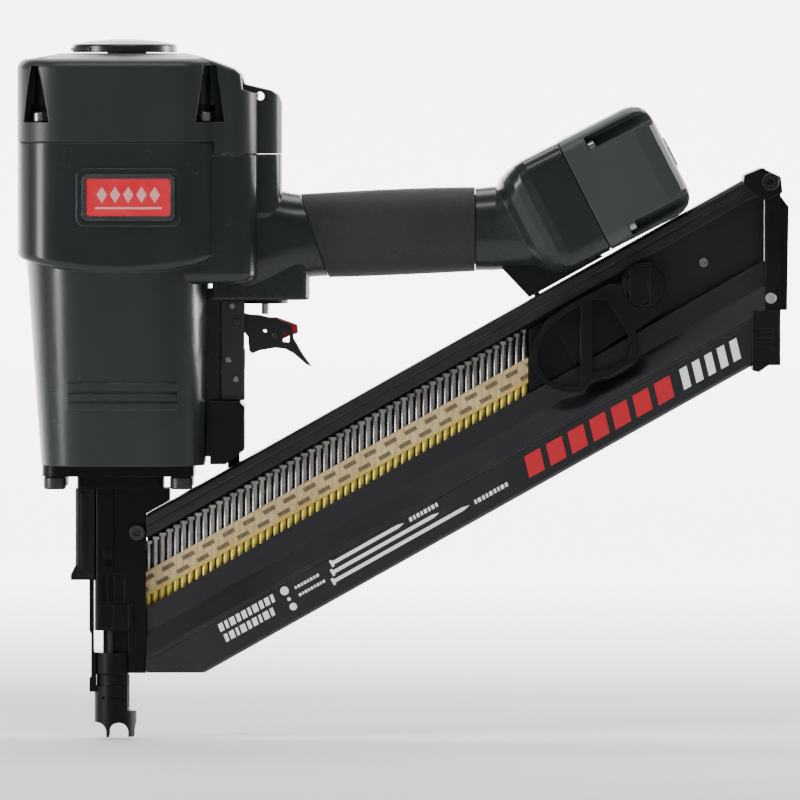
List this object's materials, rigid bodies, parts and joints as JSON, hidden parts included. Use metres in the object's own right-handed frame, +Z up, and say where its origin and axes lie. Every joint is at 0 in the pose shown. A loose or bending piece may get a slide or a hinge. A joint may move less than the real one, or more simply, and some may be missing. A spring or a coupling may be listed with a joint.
{
  "type": "pneumatic nail gun",
  "caption": "Hand-held air-driven strip nail gun with slanted magazine, rubber grip, toothed safety foot and turning exhaust deflector.",
  "frame": {"origin": "on the driver axis at the tips of the safety foot teeth", "axes": "+Z up, opposite to the driving direction; +X back along the handle; +Y to the right-hand side of the tool"},
  "size_m": [0.4109, 0.1083, 0.3729],
  "materials": {
    "body_paint": "gloss painted casting",
    "cap_paint": "satin painted casting",
    "grip_rubber": "matt",
    "black_plastic": "matt",
    "deflector_plastic": "satin",
    "red_plastic": "gloss",
    "badge_red": "printed plate",
    "badge_silver": "bright",
    "black_steel": "black oxide",
    "screw_steel": "zinc plated",
    "tool_steel": "ground",
    "cylinder_alloy": "hard anodised",
    "seal_rubber": "matt",
    "gasket_paper": "matt",
    "brass": "turned",
    "rail_alloy": "black anodised",
    "nail_steel": "bright drawn",
    "tape_paper": "kraft"
  },
  "bodies": {
    "frame": {"housing": "body_paint", "cylinder_cap": "cap_paint", "cap_gasket": "gasket_paper", "cap_screws": "screw_steel", "deflector_screw": "black_steel", "badge_frame": "badge_silver", "badge_plate": "badge_red", "head_valve_spring": "tool_steel", "cylinder_sleeve": "cylinder_alloy", "sleeve_seals": "seal_rubber", "bumper": "seal_rubber", "grip_sleeve": "grip_rubber", "end_cap": "cap_paint", "end_cap_gasket": "gasket_paper", "end_cap_screws": "screw_steel", "inlet_bush": "brass", "trigger_pin": "tool_steel", "trigger_spring": "tool_steel", "trigger_valve_body": "black_plastic", "valve_spring": "tool_steel", "trigger_bracket": "black_plastic", "bracket_pins": "tool_steel", "rear_cover": "black_plastic", "cover_screws": "black_steel", "nose_body": "black_steel", "nose_cheeks": "black_steel", "nose_muzzle": "black_steel", "nose_screws": "black_steel", "cheek_screw": "black_steel", "safety_guide": "black_plastic", "safety_spring": "tool_steel", "magazine_rail": "rail_alloy", "magazine_back_plate": "rail_alloy", "magazine_channel": "rail_alloy", "magazine_screws": "screw_steel", "magazine_bracket": "black_plastic", "bracket_screws": "black_steel", "end_bracket": "black_plastic", "end_bracket_screws": "screw_steel", "nails": "nail_steel", "collation_tape": "tape_paper"},
    "driver": {"piston": "cylinder_alloy", "piston_ring": "seal_rubber", "driver_blade": "tool_steel"},
    "valve_head": {"head_valve": "cylinder_alloy", "head_valve_seal": "seal_rubber"},
    "stem": {"valve_stem": "tool_steel"},
    "trigger_group": {"trigger": "black_plastic", "lever_pin": "tool_steel"},
    "lever": {"trigger_lever": "red_plastic"},
    "safety": {"contact_foot": "black_steel", "safety_link": "black_steel"},
    "deflector": {"exhaust_deflector": "deflector_plastic"},
    "follower": {"pusher": "black_plastic", "pusher_spring": "tool_steel"}
  },
  "joints": [
    {"name": "driver_stroke", "type": "slide", "parent": "frame", "child": "driver", "axis": [0, 0, -1], "range_m": [0, 0.104]},
    {"name": "head_valve_lift", "type": "slide", "parent": "frame", "child": "valve_head", "axis": [0, 0, 1], "range_m": [0, 0.006], "stiffness_N_per_m": 500, "deforming": ["head_valve_spring"]},
    {"name": "trigger_pull", "type": "hinge", "parent": "frame", "child": "trigger_group", "pos_m": [0.063, 0, 0.222], "axis": [0, -1, 0], "range_deg": [0, 9], "stiffness_Nm_per_rad": 1.2, "springref_deg": -2.86},
    {"name": "lever_tilt", "type": "hinge", "parent": "trigger_group", "child": "lever", "pos_m": [0.083, 0, 0.2145], "axis": [0, 1, 0], "range_deg": [0, 5], "stiffness_Nm_per_rad": 0.3, "springref_deg": -2.86},
    {"name": "valve_stem_slide", "type": "slide", "parent": "frame", "child": "stem", "axis": [0, 0, 1], "range_m": [0, 0.0028], "deforming": ["valve_spring"]},
    {"name": "safety_press", "type": "slide", "parent": "frame", "child": "safety", "axis": [0, 0, 1], "range_m": [0, 0.009], "stiffness_N_per_m": 600, "springref_m": -0.006, "deforming": ["safety_spring"]},
    {"name": "deflector_turn", "type": "hinge", "parent": "frame", "child": "deflector", "pos_m": [0.0026, 0, 0.366], "axis": [0, 0, 1], "continuous": true},
    {"name": "pusher_pull", "type": "slide", "parent": "frame", "child": "follower", "axis": [0.8721, 0, 0.4894], "range_m": [0, 0.05], "stiffness_N_per_m": 30, "springref_m": -0.1}
  ],
  "couplings": [
    {"joint": "valve_stem_slide", "follows": "trigger_pull", "m_per_rad": 0.017}
  ]
}
